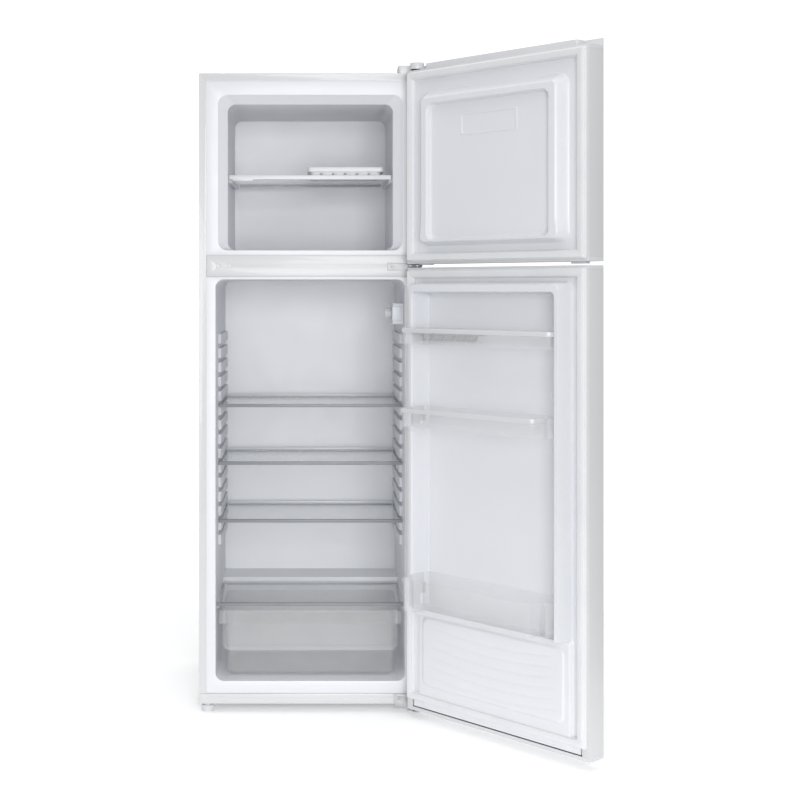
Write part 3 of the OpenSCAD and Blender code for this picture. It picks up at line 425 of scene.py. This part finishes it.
# Freezer door: a raised base with sloped sides, a shallow recess in it and a plain embossed line
lo, hi = shut_box("freezer_door_liner")
flange = shut_box("freezer_door_panel")[1].y
top_y = hi.y
CAP_LAP = 0.012                             # the door reaches past its liner by this
BASE_DROP, BASE_TRIM = 0.0135, 0.0955       # twice its drop, and its height short of the door's
RECESS_DROP, RECESS_TRIM = 0.0345, 0.1425   # the same of the recess
BASE_HALF, BASE_RADIUS = 0.2215, 0.03
SIDE_SLOPE, FOOT_SLOPE = 0.0215, 0.011      # how far in the sides and the lower edge slope
SLOPE_START, SLOPE_BLEND = 0.05, 0.04
EVEN, EASED = 0.25, 0.75                    # parts of the slope that are straight and rounded
RECESS_DEPTH, RECESS_HALF, RECESS_RADIUS, RECESS_WALL = 0.0136, 0.1842, 0.021, 0.0052
MARK_X, MARK_DROP, MARK_HALF_X, MARK_HALF_Z, MARK_RADIUS = -0.0005, 0.1455, 0.0825, 0.023, 0.004
MARK_HEIGHT, MARK_LINE = 0.0018, 0.0013
zc0, zc1 = lo.z - CAP_LAP, hi.z + CAP_LAP
base_cz, base_hz = (zc0 + zc1 - BASE_DROP) / 2, (zc1 - zc0 - BASE_TRIM) / 2
in_cz, in_hz = (zc0 + zc1 - RECESS_DROP) / 2, (zc1 - zc0 - RECESS_TRIM) / 2


def freezer_relief(x, z):
    base = sdf(x, z, 0, base_cz, BASE_HALF, base_hz, BASE_RADIUS)
    foot = min(max((base_cz - base_hz + SLOPE_START - z) / SLOPE_BLEND, 0), 1)
    slope = SIDE_SLOPE + (FOOT_SLOPE - SIDE_SLOPE) * foot
    t = min(max(-base / slope, 0), 1)
    y = flange + (top_y - flange) * (EVEN * t + EASED * t * t * (3 - 2 * t))
    y -= RECESS_DEPTH * rise(sdf(x, z, 0, in_cz, RECESS_HALF, in_hz, RECESS_RADIUS), RECESS_WALL)
    mark = sdf(x, z, MARK_X, zc1 - MARK_DROP, MARK_HALF_X, MARK_HALF_Z, MARK_RADIUS)
    y += MARK_HEIGHT * math.exp(-(mark / MARK_LINE) ** 2)
    return y


# Mesh spacing: coarse on flat stretches, fine across slopes and lines
xs = steps(lo.x, hi.x, 0.006, both_sides((0.078, 0.088), (0.176, 0.2235)), 0.0014)
zs = steps(lo.z, hi.z, 0.006, [(base_cz - base_hz - 0.001, in_cz - in_hz + 0.008),
                               (zc1 - 0.172, zc1 - 0.165), (zc1 - 0.126, zc1 - 0.119),
                               (in_cz + in_hz - 0.008, base_cz + base_hz + 0.001)], 0.0014)
liner = relief("freezer_door_moulding", xs, zs, freezer_relief, "freezer_door")
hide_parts("freezer_door_liner")

# Fridge door: high dykes round a hollow for the bins, above a low panel with curved grooves
lo, hi = shut_box("fridge_door_liner")
z0, z1 = lo.z, hi.z
face = hi.y
top = z1 - 0.0233
step_z = 0.272                              # the dykes end here and the low panel begins
lower_z = z0 + 0.039
DYKE_HALF, DYKE_RADIUS, DYKE_FOOT = 0.228, 0.018, 0.006
HOLLOW_HALF, HOLLOW_RADIUS, HOLLOW_DROP, HOLLOW_DEPTH = 0.214, 0.013, 0.022, 0.008
DYKE_WALL = 0.0055
PANEL_HALF, PANEL_RADIUS, PANEL_RUN, PANEL_HEIGHT, PANEL_WALL = 0.2325, 0.026, 0.03, 0.0085, 0.008
INNER_HALF, INNER_RADIUS, INNER_LOW, INNER_HIGH = 0.214, 0.02, 0.018, 0.014
INNER_HEIGHT, INNER_WALL = 0.0035, 0.006
BLEND_START, BLEND = 0.004, 0.006
GROOVES, GROOVE_START, GROOVE_PITCH, GROOVE_BOW = 6, 0.034, 0.0235, 0.016
GROOVE_HALF, GROOVE_TAPER, GROOVE_DEPTH, GROOVE_WIDTH = 0.192, 0.004, 0.0009, 0.003


def fridge_relief(x, z):
    y = flange
    upper = sdf(x, z, 0, (step_z - DYKE_FOOT + top) / 2, DYKE_HALF, (top - step_z + DYKE_FOOT) / 2,
                DYKE_RADIUS)
    dyke = (face - flange) * rise(upper, DYKE_WALL)
    if z > step_z + BLEND_START:
        y += dyke
    else:
        mix = min(max((step_z + BLEND_START - z) / BLEND, 0), 1)
        lower = sdf(x, z, 0, (lower_z + step_z) / 2, PANEL_HALF,
                    (step_z - lower_z) / 2 + PANEL_RUN,
                    PANEL_RADIUS)
        y += dyke * (1 - mix) + mix * PANEL_HEIGHT * rise(lower, PANEL_WALL)
        inner = sdf(x, z, 0, (lower_z + INNER_LOW + step_z - INNER_HIGH) / 2, INNER_HALF,
                    (step_z - INNER_HIGH - lower_z - INNER_LOW) / 2, INNER_RADIUS)
        y += mix * INNER_HEIGHT * rise(inner, INNER_WALL)
        for k in range(GROOVES):
            curve = lower_z + GROOVE_START + k * GROOVE_PITCH + GROOVE_BOW * (x / 0.2) ** 2
            if abs(x) < GROOVE_HALF - k * GROOVE_TAPER:
                y -= mix * GROOVE_DEPTH * math.exp(-((z - curve) / GROOVE_WIDTH) ** 2)
    if z > step_z:
        hollow = sdf(x, z, 0, (step_z + top - HOLLOW_DROP) / 2, HOLLOW_HALF,
                     (top - HOLLOW_DROP - step_z) / 2, HOLLOW_RADIUS)
        y -= (face - flange + HOLLOW_DEPTH) * rise(hollow, DYKE_WALL)
    return y


xs = steps(lo.x, hi.x, 0.008, both_sides((0.207, 0.2335)), 0.0011)
zs = steps(z0, z1, 0.008, [(z0 + 0.032, z0 + 0.068), (z0 + 0.068, step_z - 0.02),
                           (step_z - 0.02, step_z + 0.012), (top - 0.03, top + 0.002)], 0.0016)
liner = relief("fridge_door_moulding", xs, zs, fridge_relief, "fridge_door")
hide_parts("fridge_door_liner")


# ---------------------------------------------------------------- floor and light

FLOOR_HALF = 1.15
FLOOR_GAP = 0.0004
ROOM_LIGHT = 0.42
PAPER_LIGHT = 1.15     # what the camera sees behind the part, brighter than what lights it

floor_mat = surface("floor_paint", (0.94, 0.94, 0.94), (0.96, 0.96, 0.96), (0.8, 0.9), scale=1.5,
                    grain=60, depth=0.0002, strength=0.1, Emission_Strength=0.27,
                    Emission_Color=(1.0, 1.0, 1.0, 1.0))
bm = bmesh.new()
bmesh.ops.create_grid(bm, x_segments=4, y_segments=4, size=FLOOR_HALF)
mesh = bpy.data.meshes.new("floor")
bm.to_mesh(mesh)
bm.free()
floor = bpy.data.objects.new("floor", mesh)
scene.collection.objects.link(floor)
floor.location = (0, 0, -FLOOR_GAP)
mesh.materials.append(floor_mat)
floor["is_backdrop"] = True

world = bpy.data.worlds.new("world")
scene.world = world
world.use_nodes = True
wt = world.node_tree
soft = wt.nodes["Background"]
soft.inputs[0].default_value = (0.97, 0.985, 1.0, 1)
soft.inputs[1].default_value = ROOM_LIGHT
paper = wt.nodes.new("ShaderNodeBackground")
paper.inputs[1].default_value = PAPER_LIGHT
paper.inputs[0].default_value = (1.0, 1.0, 1.0, 1)
path = wt.nodes.new("ShaderNodeLightPath")
mix = wt.nodes.new("ShaderNodeMixShader")
wt.links.new(path.outputs["Is Camera Ray"], mix.inputs[0])
wt.links.new(soft.outputs[0], mix.inputs[1])
wt.links.new(paper.outputs[0], mix.inputs[2])
wt.links.new(mix.outputs[0], wt.nodes["World Output"].inputs[0])


def area(name, place, target, size, power):
    d = bpy.data.lights.new(name, "AREA")
    d.shape = "RECTANGLE"
    d.size, d.size_y = size
    d.energy = power
    o = bpy.data.objects.new(name, d)
    scene.collection.objects.link(o)
    o.location = place
    o.rotation_euler = (Vector(target) - Vector(place)).to_track_quat("-Z", "Y").to_euler()


area("front", place=(0.4, -4.6, 1.25), target=(0, 0, 0.8), size=(1.8, 1.8), power=100)
area("top", place=(0, 0, 4.2), target=(0, 0, 0), size=(6.5, 6.5), power=130)
area("low", place=(-0.2, -3.0, 0.3), target=(0, 0, 0.35), size=(0.9, 0.4), power=4)


# ---------------------------------------------------------------- end

lists = [[list(v) for v in b] if hasattr(b, "__len__") else b for b in (cad_bounds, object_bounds())]
